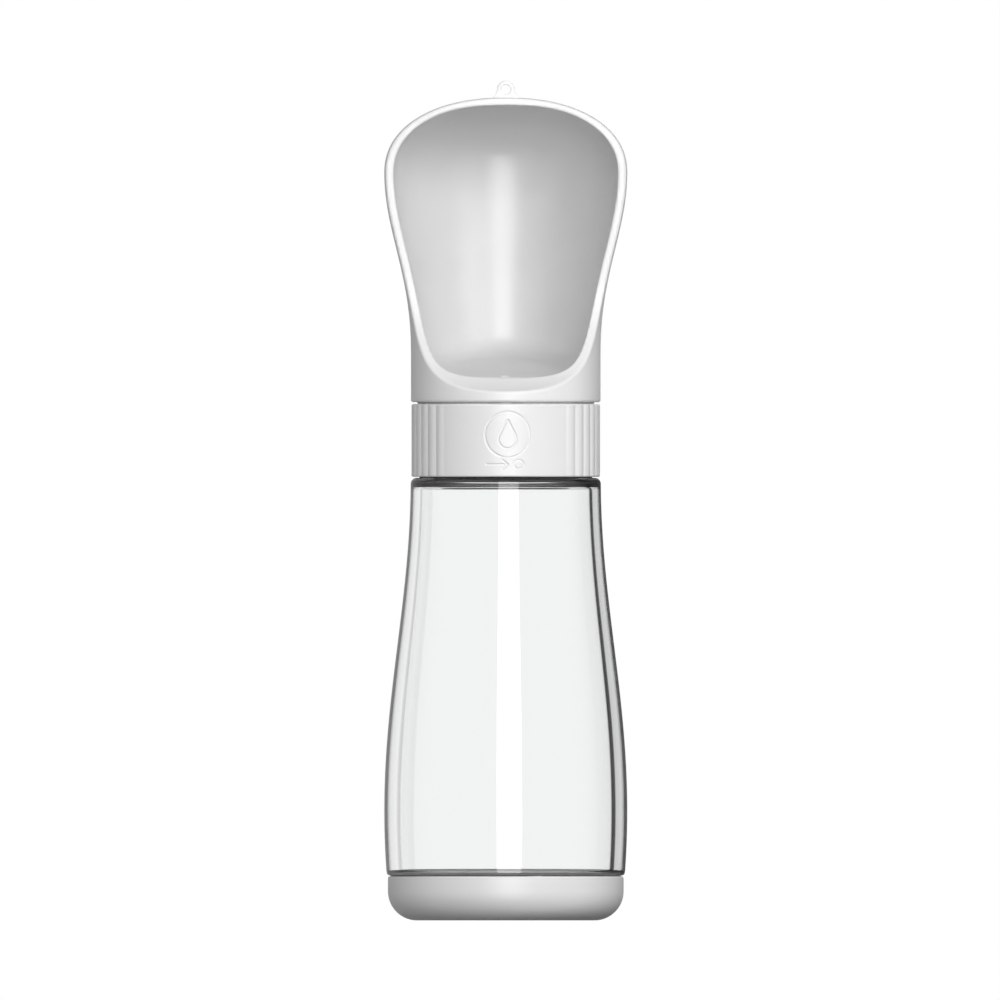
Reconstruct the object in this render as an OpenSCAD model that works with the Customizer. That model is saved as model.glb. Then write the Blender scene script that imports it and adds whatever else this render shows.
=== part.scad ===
/* [Clear body] */
// Radius of the clear body at its widest place
belly_r = 40; // [37:0.5:44]
// Radius at the waist, shared by the body's shoulder, the ring and the scoop's skirt
waist_r = 31.2; // [30:0.1:34]
// Height of the clear body between its lower and its upper seam
body_h = 130.9; // [110:0.1:160]
// Height of the widest place above the body's lower edge
belly_h = 21.2; // [14:0.1:40]
// How far the body draws in again below its widest place
foot_in = 0.8; // [0.2:0.1:1.6]
// Wall thickness under the shoulder
wall_top = 3.6; // [3:0.1:4.2]
// Wall thickness at the widest place
wall_belly = 5; // [4:0.1:6]
// Radius of the rounded shoulder edge
shoulder_round = 2; // [1:0.1:2.6]
// Radius of the rounded lower edge
foot_round = 1; // [0.5:0.1:1.2]
// Thickness of the shoulder plate under the neck gasket
shoulder_plate = 1.2; // [1:0.1:2.5]
// Wall thickness of the threaded neck
neck_wall = 2.7; // [2:0.1:3.2]
// Wall thickness of the threaded lower end
spigot_wall = 2.6; // [2:0.1:3]
// Length of the threaded lower end
spigot_h = 6.8; // [5:0.1:7.2]

/* [Base cap] */
// Height of the base cap
base_h = 14.5; // [14:0.1:20]
// How far the base cap stands inside the body's lower edge
base_step = 0.4; // [0.1:0.1:0.8]
// Wall thickness of the base cap
base_wall = 2.1; // [1.8:0.1:2.3]
// Height of the base cap's inner floor
base_floor = 3.5; // [3:0.1:4.5]
// Radius of the rounded outer bottom edge
base_round = 9.6; // [7:0.1:10]
// Radius of the rounded inner bottom edge
base_in_round = 4; // [3.6:0.1:6]
// Depth of the recess inside the standing ring
foot_recess = 0.8; // [0.4:0.1:1.2]
// Radius of the recess inside the standing ring
recess_r = 24; // [18:0.5:27]

/* [Gaskets] */
// Radial width of the two body gaskets
gasket_w = 2.2; // [1.8:0.1:2.4]
// Depth of the grooves that hold the two body gaskets
groove_d = 1.1; // [0.8:0.1:2.2]
// How far the gaskets stand out of their grooves, which sets both seams
seam = 0.3; // [0.2:0.05:0.5]
// Outer radius of the port seals
seal_r = 4.2; // [3.8:0.1:4.4]
// Inner radius of the port seals
seal_bore_r = 2.4; // [2.1:0.1:2.8]
// Thickness of the port seals
seal_t = 1.6; // [1.3:0.1:1.8]

/* [Twist ring] */
// Height of the twist ring
ring_h = 24; // [22:0.1:34]
// Seam between the twist ring and the scoop's skirt
ring_seam = 0.6; // [0.3:0.1:1]
// Wall thickness of the twist ring over its crests
ring_wall = 2.2; // [1.8:0.1:2.6]
// Half angle of the smooth panels at the front and the back
panel_half = 40; // [30:1:50]
// Number of grip ribs on each side
rib_count = 12; // [8:1:16]
// Radius of a grip rib's rounded crest
rib_round = 5; // [3.5:0.1:7]
// Depth of the ring's wall under the grip ribs
rib_rise = 0.55; // [0.3:0.05:0.7]
// Angle from shut to open
open_angle = 60; // [40:1:70]

/* [Valve] */
// Thickness of the valve disc
disc_t = 3; // [2.4:0.1:3.6]
// Gap between the disc and the plates on both sides of it
plate_gap = 0.4; // [0.2:0.05:0.6]
// Radius of the water port
port_r = 1.9; // [1.5:0.1:2]
// Distance from the port's edge to the wall of the neck's bore
port_edge = 0.9; // [0.6:0.1:1.6]
// Thickness of the neck cap's plate
cap_plate = 2.6; // [2.4:0.1:3.4]
// Wall thickness of the neck cap's threaded skirt
cap_wall = 3.1; // [2.8:0.1:3.6]
// Radial room for the thread between two screwed walls
thread_gap = 1.2; // [1:0.1:1.4]
// Radius of the centre boss on which the disc turns
boss_r = 5; // [4.6:0.1:5.5]
// Running clearance of every turning fit
run_fit = 0.08; // [0.04:0.01:0.1]
// Radius of the stop pin in the disc's slot
stop_r = 1.5; // [1.2:0.1:1.8]
// Angle that each drive lug of the disc spans
lug_angle = 20; // [14:1:30]
// Number of drive lugs between the disc and the ring
lug_count = 3; // [2:1:5]

/* [Scoop] */
// Height of the scoop from its skirt to its crown
scoop_h = 100.3; // [85:0.1:120]
// Radius of the scoop at its widest place
scoop_r = 40; // [37:0.5:44]
// Height of the widest place above the skirt's lower edge
wide_h = 75.4; // [64:0.1:78]
// Height above the skirt's lower edge at which the scoop starts to widen
flare_h = 14.4; // [8:0.1:24]
// Wall thickness of the scoop
scoop_wall = 2.8; // [2.4:0.1:3]
// Wall thickness at the crown
crown_wall = 2; // [1.6:0.1:3]
// Distance from the axis to the open front of the scoop
front_y = 5.5; // [2:0.1:10]
// Height of the front lip above the skirt's lower edge
lip_h = 3.1; // [2.6:0.1:4]
// Height above the skirt's lower edge at which the open front turns straight up
front_turn_h = 41.4; // [36:0.1:52]
// Height of the bowl's floor at its front edge above the skirt's lower edge
floor_h = 7.4; // [7:0.1:9]
// Slope of the bowl's floor in degrees, falling to the port
floor_slope = 9; // [6:0.5:12]
// Radius of the bend from the floor to the back and side walls
bowl_round = 13; // [10:0.5:15]
// Radius of the bend between the front part of the floor and the walls
lip_round = 8; // [6:0.5:9]
// Bevel round the port in the bowl's floor
port_bevel = 0.5; // [0.3:0.1:0.8]
// Thickness of the stiffening ribs under the bowl's floor
web_t = 1.6; // [1.2:0.1:2.4]

/* [Lanyard lug] */
// Radius of the lug round its hole
lug_r = 2.9; // [2.6:0.1:4]
// Radius of the lanyard hole
lug_hole_r = 1.55; // [1.2:0.05:1.8]
// Thickness of the lug
lug_t = 3.2; // [2.4:0.1:5]
// Height of the lanyard hole's centre above the crown
lug_rise = 2.6; // [2.2:0.1:4]
// Extra width of the lug's foot on each side
lug_flare = 1.4; // [0.5:0.1:2.5]
// Depth of the seat that holds the lug's foot in the crown
lug_seat = 0.6; // [0.3:0.1:1]

/* [Hidden] */
$fn = 96;
over = 1;
fine = 16;
coarse = 8;
edge = 0.4;

// Heights of the seams, from the table up
body_z0 = base_h + seam;
body_z1 = body_z0 + body_h;
belly_z = body_z0 + belly_h;
ring_z0 = body_z1 + seam;
ring_z1 = ring_z0 + ring_h;
scoop_z0 = ring_z1 + ring_seam;
scoop_z1 = scoop_z0 + scoop_h;

// Heights inside the ring, from its top down: the disc, the neck cap's plate and the neck's lip
disc_drop = 2.8;
lip_gap = 0.5;
disc_z1 = ring_z1 - disc_drop;
disc_z0 = disc_z1 - disc_t;
seat_z = disc_z1 + plate_gap;
cap_z1 = disc_z0 - plate_gap;
cap_z0 = cap_z1 - cap_plate;
neck_z1 = cap_z0 - lip_gap;

// Radii inside the ring, from its grip inwards: the neck cap, the thread and the neck
ring_step = 0.1;
cap_gap = 0.5;
ring_r = waist_r - ring_step;
shoulder_r = waist_r + ring_step;
ring_bore_r = ring_r - ring_wall;
cap_r = ring_bore_r - cap_gap;
cap_bore_r = cap_r - cap_wall;
neck_r = cap_bore_r - thread_gap;
neck_bore_r = neck_r - neck_wall;
port_y = neck_bore_r - port_r - port_edge;

// Lower end of the body and the base cap around it
foot_r = belly_r - foot_in;
base_r = foot_r - base_step;
base_bore_r = base_r - base_wall;
spigot_r = base_bore_r - thread_gap;
spigot_bore_r = spigot_r - spigot_wall;
spigot_z0 = body_z0 - spigot_h;
spigot_gap = 0.3;

// Grooves for the gaskets: the upper under the neck cap's wall, the lower over the base cap's rim
neck_groove_r = cap_r - gasket_w;
foot_groove_r = spigot_r + spigot_gap;

// Half a turn of a cosine from nothing to one
function ease(t) = (1 - cos(180 * t)) / 2;

// Points along a round stretch from angle a0 to a1
function arc(r, z, radius, a0, a1, steps) =
    [for (i = [0:steps]) let (a = a0 + (a1 - a0) * i / steps) [r + radius * cos(a), z + radius * sin(a)]];

// Outer radius of the clear body at height z, and its wall there
function body_radius(z) =
    z < belly_z
        ? belly_r - foot_in * pow((belly_z - z) / belly_h, 2)
        : shoulder_r + (belly_r - shoulder_r) * ease((body_z1 - z) / (body_z1 - belly_z));
function body_wall(z) =
    wall_top + (wall_belly - wall_top) * (body_radius(z) - shoulder_r) / (belly_r - shoulder_r);
function body_bore(z) = body_radius(z) - body_wall(z);

// Heights from z0 to z1 in equal steps
function levels(z0, z1, steps) = [for (i = [0:steps]) z0 + (z1 - z0) * i / steps];

body_steps = 40;
plate_round = 1.5;
plate_lean = 15;
throat_rise = 1.3;
plate_z = body_z1 - groove_d - shoulder_plate;
throat_z = body_z0 + groove_d + throat_rise;
shoulder_z = body_z1 - shoulder_round;
foot_z = body_z0 + foot_round;

// Half section of the clear body: inside up, round the neck, and outside down
body_section = concat(
    [[spigot_bore_r, spigot_z0], [spigot_bore_r, body_z0 - over]],
    [for (z = levels(throat_z, plate_z - plate_round, body_steps)) [body_bore(z), z]],
    arc(body_bore(plate_z) - plate_round, plate_z - plate_round, plate_round, plate_lean, 90, coarse),
    [[neck_bore_r, plate_z], [neck_bore_r, neck_z1], [neck_r, neck_z1], [neck_r, body_z1]],
    [[neck_groove_r, body_z1], [neck_groove_r, body_z1 - groove_d]],
    [[cap_r, body_z1 - groove_d], [cap_r, body_z1]],
    arc(body_radius(shoulder_z) - shoulder_round, shoulder_z, shoulder_round, 90, 0, coarse),
    [for (z = levels(shoulder_z - over, foot_z + over, body_steps)) [body_radius(z), z]],
    arc(foot_r - foot_round, foot_z, foot_round, 0, -90, coarse),
    [[foot_groove_r + gasket_w, body_z0], [foot_groove_r + gasket_w, body_z0 + groove_d]],
    [[foot_groove_r, body_z0 + groove_d], [foot_groove_r, body_z0], [spigot_r, body_z0]],
    [[spigot_r, spigot_z0 + edge], [spigot_r - edge, spigot_z0]]
);

module revolve(section) {
    rotate_extrude()
        polygon(section);
}

module washer(r_out, r_in, z0, z1) {
    difference() {
        translate([0, 0, z0])
            cylinder(r = r_out, h = z1 - z0);
        translate([0, 0, z0 - over])
            cylinder(r = r_in, h = z1 - z0 + 2 * over);
    }
}

module bottle_body() {
    color([0.88, 0.92, 0.94, 0.45])
        revolve(body_section);
}

module base_gasket() {
    color("dimgray")
        washer(foot_groove_r + gasket_w, foot_groove_r, base_h, body_z0 + groove_d);
}

module neck_gasket() {
    color("dimgray")
        washer(cap_r, neck_groove_r, body_z1 - groove_d, ring_z0);
}

// Base cap: a round-bottomed cup on a standing ring
module base_cap() {
    in_r = base_bore_r - base_in_round;
    in_z = base_floor + base_in_round;
    color("white")
        revolve(concat(
            [[0, foot_recess], [recess_r - foot_recess, foot_recess], [recess_r, 0]],
            arc(base_r - base_round, base_round, base_round, -90, 0, fine),
            [[base_r, base_h - edge], [base_r - edge, base_h], [base_bore_r, base_h]],
            arc(in_r, in_z, base_in_round, 0, -90, coarse),
            [[0, base_floor]]
        ));
}

// Two flats that keep the neck cap from turning on the scoop's boss
key_r = 4.1;
key_w = 6;
module key_bar(z0, z1, room) {
    intersection() {
        translate([0, 0, z0])
            cylinder(r = key_r + room, h = z1 - z0);
        translate([-key_w / 2 - room, -boss_r, z0])
            cube([key_w + 2 * room, 2 * boss_r, z1 - z0]);
    }
}

// Vent in the neck cap: an umbrella valve over a ring of air holes
vent_inset = 5.5;
vent_x = port_y - vent_inset;
vent_r = 4.6;
vent_stem_r = 1.2;
vent_knob_r = 1.9;
vent_skin = 1.2;
vent_hole_r = 0.7;
vent_hole_circle = 2.9;
vent_holes = 6;
vent_pocket_r = 4.2;
vent_pocket_z = cap_z0 + vent_skin;

stop_angle = 90 + open_angle / 2;
seal_pocket = seal_t - plate_gap;

// Neck cap: threaded skirt and plate, with its port, vent, key hole and stop pin
module neck_cap() {
    color("gainsboro")
        difference() {
            union() {
                revolve([
                    [0, cap_z0], [cap_bore_r, cap_z0], [cap_bore_r, ring_z0 + edge], [cap_bore_r + edge, ring_z0],
                    [cap_r, ring_z0], [cap_r, cap_z1], [0, cap_z1]
                ]);
                rotate(stop_angle)
                    translate([port_y, 0, cap_z1 - over])
                        cylinder(r = stop_r, h = over + plate_gap + disc_t - edge);
            }
            key_bar(cap_z0 - over, cap_z1 + over, run_fit);
            translate([0, -port_y, cap_z0 - over])
                cylinder(r = port_r, h = cap_plate + 2 * over);
            translate([0, -port_y, cap_z1 - seal_pocket])
                cylinder(r = seal_r, h = seal_pocket + over);
            translate([vent_x, 0, vent_pocket_z])
                cylinder(r = vent_pocket_r, h = cap_plate);
            translate([vent_x, 0, cap_z0 - over])
                cylinder(r = vent_stem_r, h = cap_plate);
            for (i = [0:vent_holes - 1])
                translate([vent_x, 0, cap_z0 - over])
                    rotate(i * 360 / vent_holes)
                        translate([vent_hole_circle, 0, 0])
                            cylinder(r = vent_hole_r, h = cap_plate);
        }
}

// Umbrella valve: a thin dished flap below the plate and a knob above it
module vent_valve() {
    flap_t = 0.9;
    flap_edge = 0.3;
    knob_h = 0.9;
    color("white")
        translate([vent_x, 0, 0])
            revolve([
                [0, cap_z0 - flap_t], [vent_stem_r, cap_z0 - flap_t], [vent_r, cap_z0 - flap_edge], [vent_r, cap_z0],
                [vent_stem_r, cap_z0], [vent_stem_r, vent_pocket_z], [vent_knob_r, vent_pocket_z],
                [vent_stem_r, vent_pocket_z + knob_h], [0, vent_pocket_z + knob_h]
            ]);
}

module port_seal(z0) {
    color("white")
        translate([0, -port_y, 0])
            washer(seal_r, seal_bore_r, z0, z0 + seal_t);
}

module lower_port_seal() {
    port_seal(disc_z0 - seal_t);
}

module upper_port_seal() {
    port_seal(disc_z1);
}

screw_r = 1.5;
screw_head_r = 3.4;
screw_head_h = 2.2;
screw_depth = 12;
washer_t = 1;
washer_r = 5.4;
clamp_gap = 0.2;
head_z0 = cap_z0 - washer_t;
boss_end_z = cap_z0 + clamp_gap;

module sealing_washer() {
    color("dimgray")
        washer(washer_r, screw_r + run_fit, head_z0, cap_z0);
}

// Screw that clamps the neck cap to the scoop, with a cross recess in its head
module pivot_screw() {
    slot_w = 0.8;
    slot_l = 3.4;
    slot_d = 1.2;
    head_round = 1;
    color("silver")
        difference() {
            revolve(concat(
                [[0, head_z0 - screw_head_h]],
                arc(screw_head_r - head_round, head_z0 - screw_head_h + head_round, head_round, -90, 0, coarse),
                [[screw_head_r, head_z0], [screw_r, head_z0], [screw_r, cap_z0 + screw_depth - screw_r]],
                [[0, cap_z0 + screw_depth]]
            ));
            for (a = [0, 90])
                translate([0, 0, head_z0 - screw_head_h - over])
                    rotate(a)
                        translate([-slot_l / 2, -slot_w / 2, 0])
                            cube([slot_l, slot_w, slot_d + over]);
        }
}

// Ring flange that the disc's lugs drive, held between the neck cap and the scoop's collar
flange_gap = 0.3;
flange_drop = 0.1;
lug_room = 0.3;
lug_side_room = 0.5;
lug_reach = 3.5;
lug_start = 30;
disc_r = cap_r - lug_reach;
flange_bore_r = disc_r + lug_room;
lug_tip_r = cap_r - lug_room;
flange_z0 = cap_z1 + flange_gap;
flange_z1 = disc_z1 - flange_drop;

// Outline of a sector of a flat ring, centred on the angle given
module sector(r_in, r_out, centre, width) {
    reach = r_out + over;
    side = reach * tan(width / 2);
    intersection() {
        difference() {
            circle(r = r_out);
            circle(r = r_in);
        }
        rotate(centre)
            polygon([[0, 0], [reach, -side], [reach, side]]);
    }
}

// Valve disc: it shuts the port at rest and lines its hole up with it when the ring is turned
stop_room = 0.2;
module valve_disc() {
    slot_r = stop_r + stop_room;
    slot_reach = asin(slot_r / port_y);
    color("gainsboro")
        translate([0, 0, disc_z0])
            linear_extrude(height = disc_t)
                difference() {
                    union() {
                        circle(r = disc_r);
                        for (i = [0:lug_count - 1])
                            sector(disc_r - over, lug_tip_r, lug_start + i * 360 / lug_count, lug_angle);
                    }
                    circle(r = boss_r + run_fit);
                    rotate(-90 - open_angle)
                        translate([port_y, 0])
                            circle(r = port_r);
                    sector(port_y - slot_r, port_y + slot_r, stop_angle - open_angle / 2,
                        open_angle + 2 * slot_reach);
                }
}

// Outside of the twist ring: two smooth panels and two fans of grip ribs
rib_pitch = (180 - 2 * panel_half) / rib_count;
module ring_outline() {
    circle(r = ring_r - rib_rise);
    for (side = [-90, 90])
        sector(ring_bore_r, ring_r, side, 2 * panel_half);
    for (side = [0, 180])
        for (i = [0:rib_count - 1])
            rotate(side - 90 + panel_half + (i + 0.5) * rib_pitch)
                translate([ring_r - rib_round, 0])
                    circle(r = rib_round);
}

// Twist ring: a ribbed sleeve with an inner flange that the disc's lugs drive
module twist_ring() {
    color("white")
        difference() {
            intersection() {
                translate([0, 0, ring_z0])
                    linear_extrude(height = ring_h)
                        ring_outline();
                revolve([
                    [0, ring_z0], [ring_r - edge, ring_z0], [ring_r, ring_z0 + edge],
                    [ring_r, ring_z1 - edge], [ring_r - edge, ring_z1], [0, ring_z1]
                ]);
            }
            translate([0, 0, ring_z0 - over])
                cylinder(r = flange_bore_r, h = ring_h + 2 * over);
            translate([0, 0, ring_z0 - over])
                cylinder(r = ring_bore_r, h = flange_z0 - ring_z0 + over);
            translate([0, 0, flange_z1])
                cylinder(r = ring_bore_r, h = ring_z1 - flange_z1 + over);
            translate([0, 0, flange_z0 - over])
                linear_extrude(height = flange_z1 - flange_z0 + 2 * over)
                    for (i = [0:lug_count - 1])
                        sector(flange_bore_r - over, lug_tip_r + lug_room / 2,
                            lug_start + i * 360 / lug_count, lug_angle + 2 * lug_side_room);
        }
}

// Outlines of the scoop: a flared skirt and a squared dome
flare_bias = 1.2;
dome_power = 2.2;
flare_z = scoop_z0 + flare_h;
wide_z = scoop_z0 + wide_h;
scoop_bore_r = waist_r - scoop_wall;
function scoop_radius(z) =
    z < flare_z
        ? waist_r
        : waist_r + (scoop_r - waist_r) * ease(pow((z - flare_z) / (wide_z - flare_z), flare_bias));
function dome(r, h, steps) =
    [for (i = [1:steps]) let (a = 90 * i / steps)
        [r * pow(cos(a), 2 / dome_power), wide_z + h * pow(sin(a), 2 / dome_power)]];

// Height of the bowl's floor over a place y, and the room it leaves
floor_y0 = -26;
room_sink = 2;
function floor_z(y) = scoop_z0 + floor_h + (y - floor_y0) * tan(floor_slope);
room_z0 = scoop_z0 + floor_h - room_sink;

module scoop_outside() {
    revolve(concat(
        [[0, scoop_z0], [waist_r - edge, scoop_z0], [waist_r, scoop_z0 + edge]],
        [for (z = levels(flare_z, wide_z, fine)) [scoop_radius(z), z]],
        dome(scoop_r, scoop_z1 - wide_z, fine)
    ));
}

// The round inside of the scoop, before its floor is laid in
module scoop_inside() {
    wall_z = room_z0 + lip_round;
    revolve(concat(
        [[0, room_z0]],
        arc(scoop_bore_r - lip_round, wall_z, lip_round, -90, 0, coarse),
        [for (z = levels(max(flare_z, wall_z + over), wide_z, fine)) [scoop_radius(z) - scoop_wall, z]],
        dome(scoop_r - scoop_wall, scoop_z1 - wide_z - crown_wall, fine)
    ));
}

// Everything above the bowl's sloping floor: a trough that is open to the front and round at the back.
// grow sinks its surface into the floor, for the hollow on the underside
bowl_lean = 80;
bowl_out = 0.3;
bowl_y = 2.3;
bowl_flat = scoop_bore_r + bowl_out - bowl_round * sin(bowl_lean);
module bowl_room(grow) {
    bend = bowl_round + grow;
    far_r = 2 * scoop_r;
    half = concat(
        [[0, -grow]],
        arc(bowl_flat, bowl_round, bend, -90, bowl_lean - 90, coarse),
        [[far_r, bowl_round - bend * cos(bowl_lean)], [far_r, scoop_h], [0, scoop_h]]
    );
    translate([0, bowl_y, floor_z(bowl_y)])
        rotate([floor_slope, 0, 0]) {
            revolve(half);
            rotate([90, 0, 0])
                linear_extrude(height = 2 * waist_r)
                    polygon(concat(half, [for (i = [len(half) - 2:-1:1]) [-half[i][0], half[i][1]]]));
        }
}

// The open front: a swept curve from the lip up to a straight edge
front_power = 1.7;
front_reach = 34;
module scoop_front() {
    turn_z = scoop_z0 + front_turn_h;
    drop = front_turn_h - lip_h;
    reach = front_reach - front_y;
    far_y = -2 * scoop_r;
    curve = [for (i = [0:fine]) let (a = 90 * i / fine)
        [-front_reach + reach * pow(cos(a), 2 / front_power), turn_z - drop * pow(sin(a), 2 / front_power)]];
    rotate([90, 0, 90])
        linear_extrude(height = 3 * scoop_r, center = true)
            polygon(concat(curve, [[far_y, turn_z - drop], [far_y, scoop_z1 + over], [-front_y, scoop_z1 + over]]));
}

// The dry space under the bowl's floor, above the valve
collar_wall = 1.6;
collar_r = ring_bore_r - run_fit;
collar_bore_r = collar_r - collar_wall;
collar_z0 = disc_z1 + flange_gap;
seat_r = 6;
lip_drop = 0.2;
ceiling_z = scoop_z0 + lip_h - lip_drop;
module dry_space() {
    translate([0, 0, collar_z0 - over])
        cylinder(r = collar_bore_r, h = ceiling_z - collar_z0 + over);
    difference() {
        translate([0, 0, ceiling_z - over])
            cylinder(r = scoop_bore_r, h = wide_h / 2);
        bowl_room(scoop_wall);
        translate([-scoop_r, -2 * scoop_r - port_y + seat_r, ceiling_z])
            cube([2 * scoop_r, 2 * scoop_r, wide_h]);
        washer(2 * scoop_r, collar_bore_r, ceiling_z - 2 * over, ceiling_z);
    }
}

// Stiffening rib under the floor, from the centre boss to the wall
web_angles = [20, 160, 200, 340];
web_drop = 0.6;
module web(angle) {
    r0 = boss_r - over;
    r1 = scoop_bore_r + over;
    rotate([90, 0, angle])
        translate([0, 0, -web_t / 2])
            linear_extrude(height = web_t)
                polygon([
                    [r0, scoop_z0 + web_drop], [collar_bore_r + over, scoop_z0 + web_drop],
                    [r1, ceiling_z], [r1, floor_z(r1 * sin(angle)) - scoop_wall / 2],
                    [r0, floor_z(r0 * sin(angle)) - scoop_wall / 2]
                ]);
}

// Lanyard lug: an eye on a flared foot that is let into the crown
lug_hole_z = scoop_z1 + lug_rise;
lug_foot_r = lug_r + lug_flare;
module lanyard_lug() {
    side = [for (i = [0:coarse]) let (t = i / coarse) [lug_r + lug_flare * pow(1 - t, 2), scoop_z1 + lug_rise * t]];
    half = concat([[lug_foot_r, scoop_z1 - lug_seat]], side);
    color("white")
        translate([0, lug_t / 2, 0])
            rotate([90, 0, 0])
                linear_extrude(height = lug_t)
                    difference() {
                        union() {
                            polygon(concat(half, [for (i = [len(half) - 1:-1:0]) [-half[i][0], half[i][1]]]));
                            translate([0, lug_hole_z])
                                circle(r = lug_r);
                        }
                        translate([0, lug_hole_z])
                            circle(r = lug_hole_r);
                    }
}

// Room for the lug's foot in the crown
module lug_seating() {
    translate([-lug_foot_r, -lug_t / 2, scoop_z1 - lug_seat])
        cube([2 * lug_foot_r, lug_t, lug_seat + over]);
}

// Scoop: drinking bowl, skirt with its collar, valve seat and centre boss in one moulding
module scoop() {
    boss_top = floor_z(0) - scoop_wall / 2;
    seat_top = floor_z(-port_y) - scoop_wall;
    color("white")
        difference() {
            union() {
                difference() {
                    union() {
                        scoop_outside();
                        translate([0, 0, collar_z0])
                            cylinder(r = collar_r, h = scoop_z0 - collar_z0 + over);
                    }
                    intersection() {
                        scoop_inside();
                        bowl_room(0);
                    }
                    scoop_front();
                    dry_space();
                }
                translate([0, 0, cap_z1])
                    cylinder(r = boss_r, h = boss_top - cap_z1);
                key_bar(boss_end_z, cap_z1 + over, 0);
                translate([0, -port_y, seat_z])
                    cylinder(r = seat_r, h = seat_top - seat_z);
                for (angle = web_angles)
                    web(angle);
            }
            translate([0, -port_y, seat_z - over])
                cylinder(r = port_r, h = floor_z(0) - seat_z + over);
            // The port's bevel, square to the sloping floor
            translate([0, -port_y, floor_z(-port_y)])
                rotate([floor_slope, 0, 0])
                    translate([0, 0, -port_bevel])
                        cylinder(r1 = port_r, r2 = port_r + 2 * port_bevel, h = 2 * port_bevel);
            translate([0, -port_y, seat_z - over])
                cylinder(r = seal_r, h = seal_pocket + over);
            translate([0, 0, boss_end_z - over])
                cylinder(r = screw_r + run_fit, h = screw_depth + over);
            lug_seating();
        }
}

bottle_body();
base_gasket();
base_cap();
neck_gasket();
neck_cap();
vent_valve();
lower_port_seal();
pivot_screw();
sealing_washer();
upper_port_seal();
scoop();
lanyard_lug();
valve_disc();
twist_ring();
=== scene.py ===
import math

import bpy
import numpy as np
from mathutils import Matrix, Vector


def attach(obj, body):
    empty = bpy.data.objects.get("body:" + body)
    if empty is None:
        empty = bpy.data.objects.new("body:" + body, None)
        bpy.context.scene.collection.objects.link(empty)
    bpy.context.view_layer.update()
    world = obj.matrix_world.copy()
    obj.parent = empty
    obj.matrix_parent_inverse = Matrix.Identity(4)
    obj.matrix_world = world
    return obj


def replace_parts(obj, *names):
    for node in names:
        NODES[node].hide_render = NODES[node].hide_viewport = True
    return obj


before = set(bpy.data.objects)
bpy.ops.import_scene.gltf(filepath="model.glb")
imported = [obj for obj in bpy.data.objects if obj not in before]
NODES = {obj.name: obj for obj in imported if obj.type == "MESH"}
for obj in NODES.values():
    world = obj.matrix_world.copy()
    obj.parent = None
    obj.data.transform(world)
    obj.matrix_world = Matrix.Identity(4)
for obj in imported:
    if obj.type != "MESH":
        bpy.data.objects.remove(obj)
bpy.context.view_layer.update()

MM = 0.001
TURN = 2 * math.pi
SMOOTH_ANGLE = math.radians(38)  # corners sharper than this keep their edge


# Sizes of the solids, in millimetres, from the table up

BASE_R, BASE_TOP, BASE_BORE, BASE_FLOOR = 38.8, 14.5, 36.7, 3.5
BODY_Z0, BODY_Z1, BELLY_Z, BELLY_R = 14.8, 145.7, 36.0, 40.0
FOOT_R, SHOULDER_R, FOOT_IN = 39.2, 31.3, 0.8
SPIGOT_R, SPIGOT_BORE, SPIGOT_Z0 = 35.5, 32.9, 8.0
# The neck's groove is 0.7 mm deeper than the solid's, so that its dark gasket fills the height of the band of
# shade under the ring; the gasket's dark colour is painted shade
FOOT_GROOVE_D, NECK_GROOVE_D, GASKET_W = 1.1, 1.8, 2.2
FOOT_GROOVE, NECK_GROOVE = 35.8, 26.2
NECK_R, NECK_BORE, NECK_Z1 = 24.1, 21.4, 160.7
CAP_BORE = 25.3
RING_R, RING_BORE, RING_Z0, RING_Z1 = 31.1, 28.9, 146.0, 170.0
FLANGE_BORE, FLANGE_Z0, FLANGE_Z1 = 25.2, 164.1, 167.1
PANEL_HALF, RIB_PITCH, RIB_ROUND = 40.0, 100 / 12, 5.0
SCOOP_Z0, SCOOP_Z1, WAIST_R, WIDE_R = 170.6, 270.9, 31.2, 40.0
FLARE_Z, WIDE_Z, WALL, CROWN = 185.0, 246.0, 2.8, 2.0
FRONT_Y, LIP_Z, TURN_Z, FLOOR_Z = 5.5, 173.7, 212.0, 178.0
FLOOR_Y0, BOWL_Y, SLOPE = 26.0, 2.3, math.radians(9)
PORT_Y, PORT_R, PORT_BEVEL, SEAT_R, SEAT_Z0, SEAL_R, SEAL_Z1 = 18.6, 1.9, 0.5, 6.0, 167.6, 4.2, 168.8
BOSS_R, BOSS_Z0, KEY_R, KEY_HALF, KEY_Z0, SCREW_R, SCREW_Z1 = 5.0, 163.8, 4.1, 3.0, 161.4, 1.58, 173.4
WEB_ANGLES, WEB_HALF = (20, 160, 200, 340), 0.8
NECK_LEAD, NECK_STARTS, BASE_LEAD = 8.0, 2, 4.0


# Meshes

def add_mesh(name, verts, faces, material=None):
    """One object from points in millimetres, smooth but for its real corners."""
    mesh = bpy.data.meshes.new(name)
    mesh.from_pydata((np.asarray(verts, float) * MM).tolist(), [], faces)
    mesh.polygons.foreach_set("use_smooth", [True] * len(mesh.polygons))
    mesh.set_sharp_from_angle(angle=SMOOTH_ANGLE)
    mesh.update()
    obj = bpy.data.objects.new(name, mesh)
    bpy.context.scene.collection.objects.link(obj)
    if material:
        mesh.materials.append(material)
    return obj


def arc(r, z, radius, a0, a1, steps):
    """Points along a round stretch of a section, from angle a0 to a1 in degrees."""
    a = np.radians(np.linspace(a0, a1, steps + 1))
    return [(r + radius * math.cos(t), z + radius * math.sin(t)) for t in a]


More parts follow.
